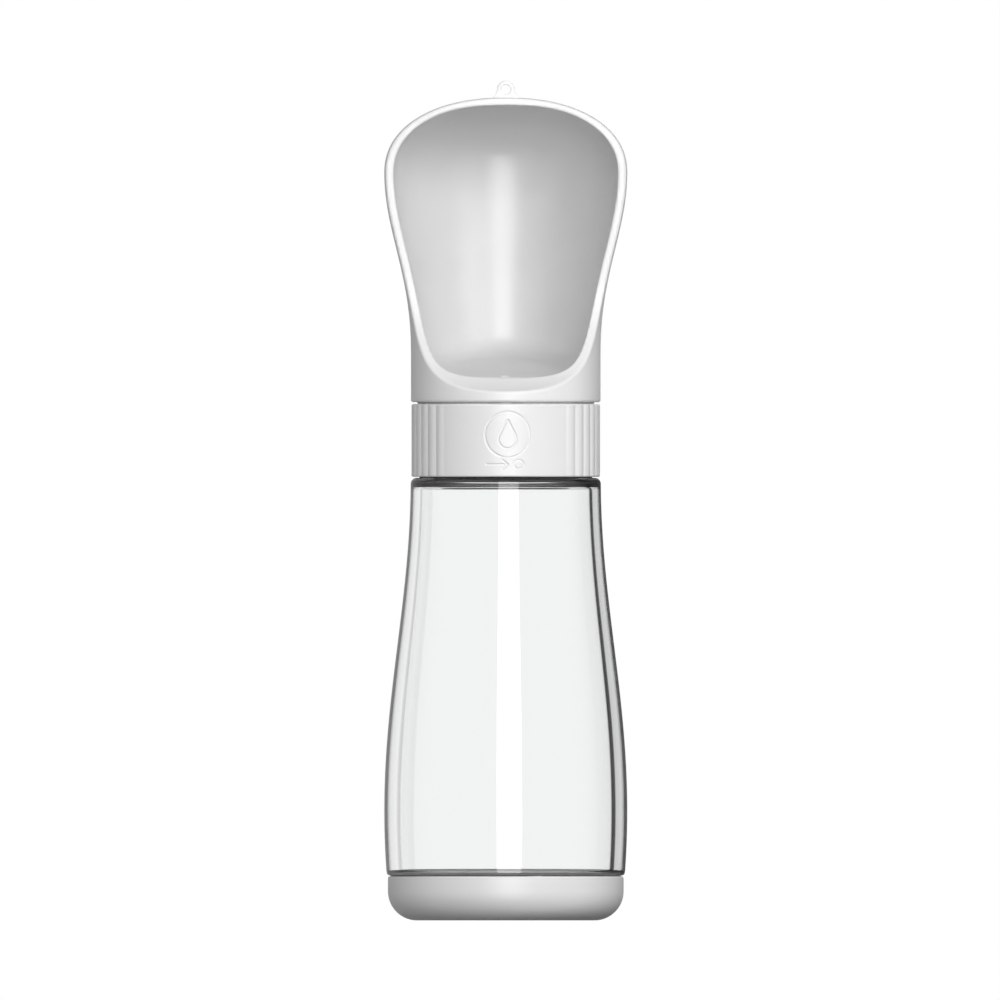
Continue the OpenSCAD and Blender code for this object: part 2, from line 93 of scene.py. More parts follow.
def soften(section, radius, steps=3, corner=24):
    """Rounds the corners of a closed section; points on the axis stay."""
    pts, out = [np.array(p, float) for p in section], []
    for i, p in enumerate(pts):
        u, v = pts[i - 1] - p, pts[(i + 1) % len(pts)] - p
        lu, lv = np.hypot(*u), np.hypot(*v)
        turn = math.pi - math.acos(max(-1, min(1, float(u @ v) / (lu * lv))))
        if turn < math.radians(corner) or p[0] < 1e-6:
            out.append(p)
            continue
        cut = min(radius * math.tan(turn / 2), 0.45 * lu, 0.45 * lv)
        a, b = p + u * cut / lu, p + v * cut / lv
        for t in np.linspace(0, 1, steps + 1):
            out.append((1 - t) ** 2 * a + 2 * t * (1 - t) * p + t * t * b)
    return out


def lathe(name, section, material, shift=None, columns=240):
    """Turns a closed section of radius and height round the axis, with shift(r, z, angle) on top."""
    s = np.array(section, float)
    turned = np.roll(s, -1, 0)
    if np.sum(s[:, 0] * turned[:, 1] - turned[:, 0] * s[:, 1]) > 0:
        s = s[::-1]
    on_axis = np.where(s[:, 0] < 1e-6)[0]
    if len(on_axis):
        s = np.roll(s, -int(on_axis[1] if on_axis[1] - on_axis[0] == 1 else on_axis[0]), 0)
    angle = np.arange(columns) * TURN / columns
    r = np.repeat(s[:, :1], columns, 1)
    z = np.repeat(s[:, 1:], columns, 1)
    if shift:
        r = r + shift(r, z, angle[None, :])
    grid = np.stack([r * np.cos(angle), r * np.sin(angle), z], -1)
    rows, verts, faces, ids = len(s), [], [], []
    for i in range(rows):
        pole = s[i, 0] < 1e-6
        ids.append([len(verts)] * columns if pole else list(range(len(verts), len(verts) + columns)))
        verts.extend([grid[i, 0]] if pole else grid[i])
    for i in range(rows if not len(on_axis) else rows - 1):
        a, b = ids[i], ids[(i + 1) % rows]
        for j in range(columns):
            k = (j + 1) % columns
            quad = [a[j], b[j], b[k], a[k]]
            faces.append([v for n, v in enumerate(quad) if v not in quad[:n]])
    return add_mesh(name, verts, faces, material)


def smooth(t):
    """A soft step from nothing at 0 to one at 1."""
    t = np.clip(t, 0, 1)
    return t * t * (3 - 2 * t)


def thread(z, angle, z0, z1, lead, starts, height=0.75, half=0.85):
    """Height of a helical ridge that rises with the angle and dies out at both ends."""
    pitch = lead / starts
    turn = (z - z0 - lead * angle / TURN) / pitch
    off = np.abs(turn - np.round(turn)) * pitch
    ends = smooth((z - z0) / 1.2) * smooth((z1 - z) / 1.2)
    return height * ends * np.cos(np.clip(off / half, 0, 1) * math.pi / 2) ** 1.2


# Node trees

def tint(code):
    """Linear colour of an sRGB hex value."""
    srgb = [int(code[i:i + 2], 16) / 255 for i in (1, 3, 5)]
    return (*[c / 12.92 if c <= 0.04045 else ((c + 0.055) / 1.055) ** 2.4 for c in srgb], 1)


def add(tree, kind, inputs=None, **settings):
    """Adds a node with its settings, values and links."""
    made = tree.nodes.new(kind)
    for name, value in settings.items():
        setattr(made, name, value)
    for key, value in (inputs or {}).items():
        if isinstance(value, bpy.types.NodeSocket):
            tree.links.new(value, made.inputs[key])
        else:
            made.inputs[key].default_value = value
    return made


def new_material(name, values):
    """A material with its main shader set to the values given."""
    material = bpy.data.materials.new(name)
    material.use_nodes = True
    shader = material.node_tree.nodes["Principled BSDF"]
    for key, value in values.items():
        shader.inputs[key].default_value = value
    return material, material.node_tree, shader


def two_tones(tree, factor, first, last):
    """A colour ramp between two sRGB tones."""
    ramp = add(tree, "ShaderNodeValToRGB", {"Fac": factor})
    for element, code in zip(ramp.color_ramp.elements, (first, last)):
        element.color = tint(code)
    return ramp


def mix(tree, factor, first, last):
    """Colour that runs from the first to the last; a plain number stands for a grey."""
    ends = [(v, v, v, 1) if isinstance(v, float) else v for v in (first, last)]
    return add(tree, "ShaderNodeMix", {"Factor": factor, 6: ends[0], 7: ends[1]}, data_type="RGBA").outputs[2]


def relief(tree, shader, height, strength, distance):
    """Fine bumps on a shader, distance metres high at full strength."""
    bump = add(tree, "ShaderNodeBump", {"Height": height, "Strength": strength, "Distance": distance})
    tree.links.new(bump.outputs["Normal"], shader.inputs["Normal"])


# White ABS, injection moulded against a satin tool: even and bright, with a broad soft sheen
def white_abs():
    material, tree, shader = new_material("white_abs_satin", {
        "Roughness": 0.36, "IOR": 1.53, "Specular IOR Level": 0.75})
    place = add(tree, "ShaderNodeTexCoord").outputs["Object"]
    # Faint flow clouds about 20 mm wide, as moulded white plastic has
    cloud = add(tree, "ShaderNodeTexNoise", {"Vector": place, "Scale": 50.0, "Detail": 3.0})
    colour = two_tones(tree, cloud.outputs["Fac"], "#f0f0f0", "#f5f5f5")
    tree.links.new(colour.outputs["Color"], shader.inputs["Base Color"])
    # Tool texture with grains 0.35 mm apart
    grain = add(tree, "ShaderNodeTexNoise", {"Vector": place, "Scale": 2800.0, "Detail": 1.0})
    relief(tree, shader, grain.outputs["Fac"], 0.04, 0.00005)
    return material


# White ABS of the scoop: satin outside, and in the bowl a spark-eroded grain with a soft highlight; the
# bowl's greyer tone is painted shade of the deep hollow
def scoop_abs():
    material, tree, shader = new_material("white_abs_scoop", {"IOR": 1.53, "Specular IOR Level": 0.75})
    place = add(tree, "ShaderNodeTexCoord").outputs["Object"]
    in_bowl = add(tree, "ShaderNodeAttribute", attribute_name="bowl").outputs["Fac"]
    cloud = add(tree, "ShaderNodeTexNoise", {"Vector": place, "Scale": 55.0, "Detail": 3.0})
    outside = two_tones(tree, cloud.outputs["Fac"], "#f0f0f0", "#f5f5f5").outputs["Color"]
    # Painted shade: the greyer tone inside the bowl darkens the hollow, where the plastic is the same white
    inside = two_tones(tree, cloud.outputs["Fac"], "#d2d2d2", "#dcdcdc").outputs["Color"]
    tree.links.new(mix(tree, in_bowl, outside, inside), shader.inputs["Base Color"])
    rough = add(tree, "ShaderNodeMapRange", {"Value": in_bowl, "To Min": 0.36, "To Max": 0.3})
    tree.links.new(rough.outputs["Result"], shader.inputs["Roughness"])
    # Grains 0.7 mm apart, deeper in the bowl
    grain = add(tree, "ShaderNodeTexNoise", {"Vector": place, "Scale": 1400.0, "Detail": 2.0})
    depth = add(tree, "ShaderNodeMapRange", {"Value": in_bowl, "To Min": 0.04, "To Max": 0.16})
    relief(tree, shader, grain.outputs["Fac"], depth.outputs["Result"], 0.0001)
    return material


# Clear copolyester, polished in the mould: colourless; the dark line where the wall is seen edge on is
# painted shade, a tint that darkens with the Layer Weight facing
def clear_copolyester(name, start, end, dark):
    material, tree, shader = new_material(name, {"Roughness": 0.0, "IOR": 1.56, "Transmission Weight": 1.0})
    edge = add(tree, "ShaderNodeLayerWeight", {"Blend": 0.5})
    # Painted shade: the colour turns dark towards grazing view, for the dark edge of the wall
    ramp = two_tones(tree, edge.outputs["Facing"], "#f8f9f9", dark)
    ramp.color_ramp.elements[0].position = start
    ramp.color_ramp.elements[1].position = end
    tree.links.new(ramp.outputs["Color"], shader.inputs["Base Color"])
    # Ripples of the moulded wall, 25 mm long and a few microns deep
    place = add(tree, "ShaderNodeTexCoord").outputs["Object"]
    ripple = add(tree, "ShaderNodeTexNoise", {"Vector": place, "Scale": 40.0, "Detail": 0.0})
    relief(tree, shader, ripple.outputs["Fac"], 0.1, 0.0002)
    return material


# Natural acetal, moulded: waxy off-white, a little see-through, with a soft sheen
def natural_acetal():
    material, tree, shader = new_material("natural_acetal", {
        "Roughness": 0.42, "IOR": 1.48, "Subsurface Weight": 0.15, "Subsurface Radius": (0.002,) * 3})
    place = add(tree, "ShaderNodeTexCoord").outputs["Object"]
    cloud = add(tree, "ShaderNodeTexNoise", {"Vector": place, "Scale": 90.0, "Detail": 2.0})
    colour = two_tones(tree, cloud.outputs["Fac"], "#e2e2df", "#e9e9e6")
    tree.links.new(colour.outputs["Color"], shader.inputs["Base Color"])
    # Fine scratches of the turning fit, 0.5 mm apart
    rub = add(tree, "ShaderNodeTexNoise", {"Vector": place, "Scale": 2000.0, "Detail": 2.0})
    relief(tree, shader, rub.outputs["Fac"], 0.08, 0.00005)
    return material


# Silicone rubber, compression moulded: matte, with a powdery bloom
def silicone(name, dark, light):
    material, tree, shader = new_material(name, {
        "Roughness": 0.6, "IOR": 1.43, "Sheen Weight": 0.05, "Sheen Roughness": 0.4})
    place = add(tree, "ShaderNodeTexCoord").outputs["Object"]
    bloom = add(tree, "ShaderNodeTexNoise", {"Vector": place, "Scale": 300.0, "Detail": 4.0})
    colour = two_tones(tree, bloom.outputs["Fac"], dark, light)
    tree.links.new(colour.outputs["Color"], shader.inputs["Base Color"])
    # Skin of the rubber with pores 0.4 mm apart
    pores = add(tree, "ShaderNodeTexNoise", {"Vector": place, "Scale": 2500.0, "Detail": 2.0})
    relief(tree, shader, pores.outputs["Fac"], 0.2, 0.00005)
    return material


# Stainless steel, cold headed and passivated: bright grey with fine turning lines
def stainless_steel():
    material, tree, shader = new_material("stainless_steel_bright", {
        "Metallic": 1.0, "Roughness": 0.28, "Base Color": tint("#c9cacb")})
    place = add(tree, "ShaderNodeTexCoord").outputs["Object"]
    # Rings 0.25 mm apart round the screw's axis
    lines = add(tree, "ShaderNodeTexWave", {"Vector": place, "Scale": 640.0, "Distortion": 0.4},
                wave_type="RINGS", rings_direction="Z")
    rough = add(tree, "ShaderNodeMapRange", {"Value": lines.outputs["Fac"], "To Min": 0.22, "To Max": 0.34})
    tree.links.new(rough.outputs["Result"], shader.inputs["Roughness"])
    relief(tree, shader, lines.outputs["Fac"], 0.15, 0.00003)
    return material


# Clear body: a revolved bottle with a threaded neck, a threaded lower end and two gasket grooves

def ease(t):
    """Half a turn of a cosine, from nothing at 0 to one at 1."""
    return (1 - math.cos(math.pi * t)) / 2


def body_radius(z):
    if z < BELLY_Z:
        return BELLY_R - FOOT_IN * ((BELLY_Z - z) / (BELLY_Z - BODY_Z0)) ** 2
    return SHOULDER_R + (BELLY_R - SHOULDER_R) * ease((BODY_Z1 - z) / (BODY_Z1 - BELLY_Z))


def body_bore(z):
    return body_radius(z) - 3.6 - 1.4 * (body_radius(z) - SHOULDER_R) / (BELLY_R - SHOULDER_R)


def body_section():
    """Half section of the clear body: inside up, round the neck, and outside down."""
    cap_r, neck_groove, foot_groove = NECK_GROOVE + GASKET_W, BODY_Z1 - NECK_GROOVE_D, BODY_Z0 + FOOT_GROOVE_D
    plate = neck_groove - 0.8
    return soften([
        (NECK_BORE, plate), *[(NECK_BORE, z) for z in np.linspace(plate + 1, NECK_Z1 - 1, 6)],
        (NECK_BORE, NECK_Z1), (NECK_R, NECK_Z1),
        *[(NECK_R, z) for z in np.linspace(NECK_Z1 - 0.8, BODY_Z1 + 0.8, 52)], (NECK_R, BODY_Z1),
        (NECK_GROOVE, BODY_Z1), (NECK_GROOVE, neck_groove), (cap_r, neck_groove), (cap_r, BODY_Z1),
        *arc(body_radius(BODY_Z1 - 2) - 2, BODY_Z1 - 2, 2, 90, 0, 12),
        *[(body_radius(z), z) for z in np.linspace(BODY_Z1 - 2.8, BODY_Z0 + 1.6, 96)],
        *arc(FOOT_R - 1, BODY_Z0 + 1, 1, 0, -90, 8),
        (FOOT_GROOVE + GASKET_W, BODY_Z0), (FOOT_GROOVE + GASKET_W, foot_groove),
        (FOOT_GROOVE, foot_groove), (FOOT_GROOVE, BODY_Z0), (SPIGOT_R, BODY_Z0),
        *[(SPIGOT_R, z) for z in np.linspace(BODY_Z0 - 0.6, SPIGOT_Z0 + 0.9, 24)],
        (SPIGOT_R, SPIGOT_Z0 + 0.4), (SPIGOT_R - 0.4, SPIGOT_Z0), (SPIGOT_BORE, SPIGOT_Z0),
        (SPIGOT_BORE, BODY_Z0 - 1), *throat(),
        *[(body_bore(z), z) for z in np.linspace(17.4, plate - 1.6, 100)],
        *arc(body_bore(plate) - 0.9, plate - 0.9, 0.9, 8, 90, 8),
    ], 0.15, 2)


def throat():
    """Soft swell from the lower end's bore to the bore of the wall."""
    r0, r1, z0, z1 = SPIGOT_BORE, body_bore(17.2), BODY_Z0 - 0.6, 17.2
    return [(r0 + (r1 - r0) * ease(t), z0 + (z1 - z0) * t) for t in np.linspace(0, 1, 10)[1:]]


def make_body(outer_material, inner_material):
    def ridges(r, z, angle):
        neck = (np.abs(r - NECK_R) < 0.01) * thread(z, angle, 147.6, 159.4, NECK_LEAD, NECK_STARTS)
        foot = (np.abs(r - SPIGOT_R) < 0.01) * thread(z, angle, 8.9, 14.2, BASE_LEAD, 1)
        return neck + foot
    body = lathe("clear_body", body_section(), outer_material, ridges)
    body.data.materials.append(inner_material)
    # The inside of the wall, up to the plate under the neck gasket, takes the second material, whose painted
    # shade draws the inner wall's dark line
    plate_z, skin = 143.6, 1.2
    for face in body.data.polygons:
        x, y, z = face.center / MM
        face.material_index = int(z < plate_z and math.hypot(x, y) < body_radius(z) - skin)
    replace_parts(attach(body, "bottle"), "bottle_body")


# Gaskets: silicone washers that fill their grooves and stand out into the seams; their dark and grey colours
# are painted shade, standing in for the bands of shade seen through the clear body at the shoulder and at the
# foot

def make_gasket(name, node, body, r, z0, z1, material):
    grip = 0.04
    r0, r1 = r - grip, r + GASKET_W + grip
    piece = lathe(name, soften([(r0, z0), (r0, z1), (r1, z1), (r1, z0)], 0.25), material)
    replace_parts(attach(piece, body), node)


# Base cap: a round-bottomed cup on a standing ring

def make_base(material):
    round_r, in_round, recess = 9.6, 4.0, 0.8
    section = soften([
        (0, recess), (24 - recess, recess), (24, 0),
        *arc(BASE_R - round_r, round_r, round_r, -90, 0, 28),
        (BASE_R, BASE_TOP - 0.4), (BASE_R - 0.4, BASE_TOP), (BASE_BORE, BASE_TOP),
        *arc(BASE_BORE - in_round, BASE_FLOOR + in_round, in_round, 0, -90, 10), (0, BASE_FLOOR),
    ], 0.25)
    piece = lathe("base_cup", section, material)
    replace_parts(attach(piece, "base"), "base_cap")


# Thread ridges of the two caps: round beads laid along helices

def socket(tree, name, kind, way="INPUT", value=None):
    made = tree.interface.new_socket(name=name, in_out=way, socket_type="NodeSocket" + kind)
    if value is not None:
        made.default_value = value
    return made


def set_inputs(modifier, values):
    """Sets a modifier's inputs by the identifiers of their sockets."""
    for item in modifier.node_group.interface.items_tree:
        if item.item_type == "SOCKET" and item.in_out == "INPUT" and item.name in values:
            modifier[item.identifier] = values[item.name]


def bake(obj):
    """Turns what the modifiers make into the object's plain mesh."""
    evaluated = obj.evaluated_get(bpy.context.evaluated_depsgraph_get())
    mesh = bpy.data.meshes.new_from_object(evaluated)
    obj.modifiers.clear()
    obj.data = mesh
    mesh.polygons.foreach_set("use_smooth", [True] * len(mesh.polygons))
    mesh.set_sharp_from_angle(angle=SMOOTH_ANGLE)
    return obj


def calculator(tree):
    """A short call that adds a math node to the tree."""
    def calc(operation, a, b=0.0):
        return add(tree, "ShaderNodeMath", {0: a, 1: b}, operation=operation).outputs[0]
    return calc


def close_tree(tree, geometry, material):
    """Ends a geometry tree with real copies, their material and the output."""
    real = add(tree, "GeometryNodeRealizeInstances", {"Geometry": geometry}).outputs[0]
    dressed = add(tree, "GeometryNodeSetMaterial", {"Geometry": real, "Material": material}).outputs[0]
    add(tree, "NodeGroupOutput", {"Geometry": dressed})
    return tree


def thread_tree():
    """Winds a round bead into a screw, and copies it round the axis once for each start."""
    tree = bpy.data.node_groups.new("thread_ridge", "GeometryNodeTree")
    socket(tree, "Geometry", "Geometry")
    for name, value in [
            ("Radius", 0.0253), ("Bead", 0.00075), ("Lead", 0.008),
            ("Turns", 1.2), ("Height", 0.148), ("Phase", 0.0)]:
        socket(tree, name, "Float", value=value)
    socket(tree, "Starts", "Int", value=2)
    socket(tree, "Material", "Material")
    socket(tree, "Geometry", "Geometry", "OUTPUT")
    given, calc = add(tree, "NodeGroupInput").outputs, calculator(tree)
    line = add(tree, "GeometryNodeCurvePrimitiveLine").outputs["Curve"]
    line = add(tree, "GeometryNodeResampleCurve", {"Curve": line, "Count": 160}).outputs["Curve"]
    along = add(tree, "GeometryNodeSplineParameter").outputs["Factor"]
    turns = calc("MULTIPLY", along, given["Turns"])
    angle = calc("ADD", calc("MULTIPLY", turns, TURN), given["Phase"])
    # The bead sinks into the wall over the first and the last part of its run
    from_end = calc("MINIMUM", along, calc("SUBTRACT", 1.0, along))
    sunk = calc("MULTIPLY", calc("MAXIMUM", calc("SUBTRACT", 1.0, calc("MULTIPLY", from_end, 14.0)), 0.0),
                given["Bead"])
    radius = calc("ADD", given["Radius"], sunk)
    place = add(tree, "ShaderNodeCombineXYZ", {
        "X": calc("MULTIPLY", radius, calc("COSINE", angle)),
        "Y": calc("MULTIPLY", radius, calc("SINE", angle)),
        "Z": calc("ADD", given["Height"], calc("MULTIPLY", turns, given["Lead"]))}).outputs[0]
    line = add(tree, "GeometryNodeSetPosition", {"Geometry": line, "Position": place}).outputs[0]
    round_wire = add(tree, "GeometryNodeCurvePrimitiveCircle", {"Resolution": 12, "Radius": given["Bead"]})
    bead = add(tree, "GeometryNodeCurveToMesh", {
        "Curve": line, "Profile Curve": round_wire.outputs["Curve"], "Fill Caps": True}).outputs["Mesh"]
    points = add(tree, "GeometryNodePoints", {"Count": given["Starts"]}).outputs[0]
    order = add(tree, "GeometryNodeInputIndex").outputs[0]
    step = calc("DIVIDE", TURN, given["Starts"])
    turned = add(tree, "ShaderNodeCombineXYZ", {"Z": calc("MULTIPLY", order, step)}).outputs[0]
    copies = add(tree, "GeometryNodeInstanceOnPoints", {
        "Points": points, "Instance": bead, "Rotation": turned}).outputs[0]
    return close_tree(tree, copies, given["Material"])


def make_thread(name, body, tree, material, values):
    piece = add_mesh(name, [], [])
    modifier = piece.modifiers.new("thread", "NODES")
    modifier.node_group = tree
    set_inputs(modifier, {**values, "Material": material})
    bake(piece)
    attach(piece, body)


# Twist ring: a sleeve with two smooth panels, two fans of grip ribs and engraved signs on the front

def drop_distance(x, z, r, tip):
    """Distance to the outline of a drop round the origin, with its tip above it."""
    lean = math.asin(r / tip)
    x = np.abs(x)
    on_side = -x * math.sin(lean) + z * math.cos(lean) > 0
    side = x * math.cos(lean) + z * math.sin(lean) - r
    return np.abs(np.where(on_side, side, np.hypot(x, z) - r)) + 10 * (z > tip)


def bar_distance(x, z, a, b):
    """Distance to a straight stroke from a to b."""
    d = np.array(b, float) - a
    t = np.clip(((x - a[0]) * d[0] + (z - a[1]) * d[1]) / (d @ d), 0, 1)
    return np.hypot(x - a[0] - t * d[0], z - a[1] - t * d[1])


def engraving(x, z):
    """Depth of the signs at a place on the front panel: a drop in a circle, an arrow and a small circle."""
    cx, cz, row, tip = 0.6, 159.9, 150.1, 0.7
    lines = [
        np.abs(np.hypot(x - cx, z - cz) - 7.5),
        drop_distance(x - cx, z - cz + 1.5, 3.0, 6.6),
        bar_distance(x, z, (-6.5, row), (tip, row)),
        bar_distance(x, z, (tip, row), (-1.1, row + 1.5)),
        bar_distance(x, z, (tip, row), (-1.1, row - 1.5)),
        np.abs(np.hypot(x - 4.4, z - row) - 1.5),
    ]
    depth, half, side = 0.36, 0.4, 0.28
    return depth * smooth((half - np.minimum.reduce(lines)) / side)


def ring_tree():
    """Pushes the grip ribs into the sleeve's outside."""
    tree = bpy.data.node_groups.new("ring_ribs", "GeometryNodeTree")
    socket(tree, "Geometry", "Geometry")
    for name, value in [
            ("Ring Radius", 0.0311), ("Rib Radius", 0.005), ("Rib Pitch", 0.1454), ("Panel Half", 0.698)]:
        socket(tree, name, "Float", value=value)
    socket(tree, "Material", "Material")
    socket(tree, "Geometry", "Geometry", "OUTPUT")
    given, calc = add(tree, "NodeGroupInput").outputs, calculator(tree)
    place = add(tree, "GeometryNodeInputPosition").outputs[0]
    part = add(tree, "ShaderNodeSeparateXYZ", {0: place}).outputs
    off_front = calc("ARCTAN2", calc("ABSOLUTE", part["X"]), calc("ABSOLUTE", part["Y"]))
    ribs = calc("DIVIDE", calc("SUBTRACT", off_front, given["Panel Half"]), given["Rib Pitch"])
    from_crest = calc("MULTIPLY", calc("SUBTRACT", calc("FRACT", ribs), 0.5), given["Rib Pitch"])
    middle = calc("SUBTRACT", given["Ring Radius"], given["Rib Radius"])
    across = calc("MULTIPLY", middle, calc("SINE", from_crest))
    rise = calc("SQRT", calc("SUBTRACT", calc("POWER", given["Rib Radius"], 2.0), calc("POWER", across, 2.0)))
    crest = calc("ADD", calc("MULTIPLY", middle, calc("COSINE", from_crest)), rise)
    inward = calc("SUBTRACT", crest, given["Ring Radius"])
    on_ribs = calc("GREATER_THAN", ribs, 0.0)
    outside = add(tree, "GeometryNodeInputNamedAttribute", {"Name": "outside"}, data_type="FLOAT").outputs[0]
    amount = calc("MULTIPLY", calc("MULTIPLY", inward, on_ribs), outside)
    flat = add(tree, "ShaderNodeCombineXYZ", {"X": part["X"], "Y": part["Y"]}).outputs[0]
    outward = add(tree, "ShaderNodeVectorMath", {0: flat}, operation="NORMALIZE").outputs[0]
    offset = add(tree, "ShaderNodeVectorMath", {0: outward, "Scale": amount}, operation="SCALE").outputs[0]
    moved = add(tree, "GeometryNodeSetPosition", {"Geometry": given["Geometry"], "Offset": offset}).outputs[0]
    return close_tree(tree, moved, given["Material"])


def ring_angles():
    """Columns of the sleeve: close on the signs, eleven to a rib, wide on the bare panel."""
    sign = np.arange(-16, 16.01, 0.36)
    front = np.concatenate([np.arange(-39.9, -16.5, 1.3), sign, np.arange(17.2, 40, 1.3), [39.9]])
    ribs = PANEL_HALF + np.arange(0, 12 * 11) * RIB_PITCH / 11 + 0.001
    back = np.arange(140.1, 220, 1.3)
    other = 360 - ribs[::-1]
    return np.unique(np.round(np.radians(np.concatenate([front, ribs, back, other])), 6))


def make_ring(material):
    inner = [
        (RING_BORE, RING_Z0), (RING_BORE, FLANGE_Z0), (FLANGE_BORE, FLANGE_Z0), (FLANGE_BORE, FLANGE_Z1),
        (RING_BORE, FLANGE_Z1), (RING_BORE, RING_Z1),
    ]
    edge = 0.4
    outer = [
        (RING_R - edge, RING_Z1), (RING_R, RING_Z1 - edge),
        *[(RING_R, z) for z in np.linspace(RING_Z1 - edge - 0.3, RING_Z0 + edge + 0.3, 112)],
        (RING_R, RING_Z0 + edge), (RING_R - edge, RING_Z0),
    ]
    s = np.array(soften(inner + outer, 0.18, 2, 30))
    off_front = ring_angles()
    columns, rows = len(off_front), len(s)
    r, z = np.repeat(s[:, :1], columns, 1), np.repeat(s[:, 1:], columns, 1)
    along = off_front[None, :] - TURN * (off_front[None, :] > math.pi)
    on_panel = (r > RING_R - 0.01) & (np.abs(along) < math.radians(20))
    r = r - on_panel * engraving(along * RING_R, z)
    grid = np.stack([r * np.sin(off_front), -r * np.cos(off_front), z], -1).reshape(-1, 3)
    faces = []
    for i in range(rows):
        a, b = i * columns, (i + 1) % rows * columns
        faces.extend([b + j, b + (j + 1) % columns, a + (j + 1) % columns, a + j] for j in range(columns))
    piece = add_mesh("twist_sleeve", grid, faces)
    outside = piece.data.attributes.new("outside", "FLOAT", "POINT")
    outside.data.foreach_set("value", (r > RING_BORE + 0.9).astype(np.float32).ravel())
    modifier = piece.modifiers.new("ribs", "NODES")
    modifier.node_group = ring_tree()
    set_inputs(modifier, {
        "Ring Radius": RING_R * MM, "Rib Radius": RIB_ROUND * MM, "Rib Pitch": math.radians(RIB_PITCH),
        "Panel Half": math.radians(PANEL_HALF), "Material": material})
    bake(piece)
    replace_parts(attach(piece, "ring"), "twist_ring")


# Scoop: a distance field of its moulding, turned into a closed mesh

def blend_max(a, b, k):
    """Both at once, with the edge between them rounded to radius k."""
    return np.minimum(np.maximum(a, b), -k) + np.hypot(np.maximum(a + k, 0), np.maximum(b + k, 0))


class Profile:
    """Distance to a closed outline in a plane, negative inside, looked up from a fine table."""

    def __init__(self, points, low, high, step=0.25):
        p = np.array(points, float)
        q = np.roll(p, -1, 0)
        self.low, self.step = np.array(low, float), step
        count = [int(round((high[i] - low[i]) / step)) + 1 for i in (0, 1)]
        u = low[0] + np.arange(count[0])[:, None] * step
        v = low[1] + np.arange(count[1])[None, :] * step
        best, inside = np.full(count, 1e9), np.zeros(count, bool)
        for (ax, ay), (bx, by) in zip(p, q):
            dx, dy = bx - ax, by - ay
            t = np.clip(((u - ax) * dx + (v - ay) * dy) / (dx * dx + dy * dy + 1e-12), 0, 1)
            best = np.minimum(best, (u - ax - t * dx) ** 2 + (v - ay - t * dy) ** 2)
            if ay != by:
                inside ^= ((ay > v) != (by > v)) & (u < dx * (v - ay) / dy + ax)
        self.table = np.where(inside, -1, 1) * np.sqrt(best)

    def __call__(self, u, v):
        a = (u - self.low[0]) / self.step
        b = (v - self.low[1]) / self.step
        i = np.clip(a.astype(int), 0, self.table.shape[0] - 2)
        j = np.clip(b.astype(int), 0, self.table.shape[1] - 2)
        a, b, t = a - i, b - j, self.table
        near = t[i, j] * (1 - a) + t[i + 1, j] * a
        far = t[i, j + 1] * (1 - a) + t[i + 1, j + 1] * a
        return near * (1 - b) + far * b


def scoop_radius(z):
    if z < FLARE_Z:
        return WAIST_R
    return WAIST_R + (WIDE_R - WAIST_R) * ease(((z - FLARE_Z) / (WIDE_Z - FLARE_Z)) ** 1.2)


def dome(r, h):
    """Squared dome over the widest place, of radius r and height h."""
    power = 2 / 2.2
    return [(r * max(math.cos(t), 0) ** power, WIDE_Z + h * math.sin(t) ** power)
            for t in np.radians(np.linspace(0, 90, 65)[1:])]


def mirrored(points):
    """An outline from its right half, which starts and ends at the axis."""
    return points + [(-x, z) for x, z in points[::-1]]


def scoop_profiles():
    low, high = (-46, 160), (46, 282)
    levels = np.linspace(FLARE_Z, WIDE_Z, 80)
    edge = 0.4
    outside = [(0, SCOOP_Z0), (WAIST_R - edge, SCOOP_Z0), (WAIST_R, SCOOP_Z0 + edge)]
    outside += [(scoop_radius(z), z) for z in levels] + dome(WIDE_R, SCOOP_Z1 - WIDE_Z)
    bore, room_z0, lip_round = WAIST_R - WALL, FLOOR_Z - 2, 8
    walls = [(scoop_radius(z) - WALL, z) for z in levels] + dome(WIDE_R - WALL, SCOOP_Z1 - WIDE_Z - CROWN)
    inside = [(0, room_z0)] + arc(bore - lip_round, room_z0 + lip_round, lip_round, -90, 0, 16) + walls
    open_below = [(0, 130), (bore, 130)] + walls
    reach, power = 34, 2 / 1.7
    front = [(-reach + (reach - FRONT_Y) * max(math.cos(t), 0) ** power,
              TURN_Z - (TURN_Z - LIP_Z) * math.sin(t) ** power) for t in np.radians(np.linspace(0, 90, 64))]
    front = front[::-1] + [(-FRONT_Y, 290), (60, 290), (60, 150), (-60, 150), (-60, LIP_Z)]
    bend, flat = 13, WAIST_R - WALL + 0.3 - 13 * math.sin(math.radians(80))
    room = [(0, 0)] + arc(flat, bend, bend, -90, -32, 20)
    room += [(58, room[-1][1] + (58 - room[-1][0]) / math.tan(math.radians(32))), (58, 88), (0, 88)]
    return {
        "outside": Profile(mirrored(outside), low, high), "inside": Profile(mirrored(inside), low, high),
        "walls": Profile(mirrored(open_below), low, high), "front": Profile(front, low, high),
        "room": Profile(mirrored(room), (-60, -20), (60, 90)),
    }


def floor_height(y):
    """Height of the bowl's sloping floor at a place y."""
    return FLOOR_Z + (y + FLOOR_Y0) * math.tan(SLOPE)


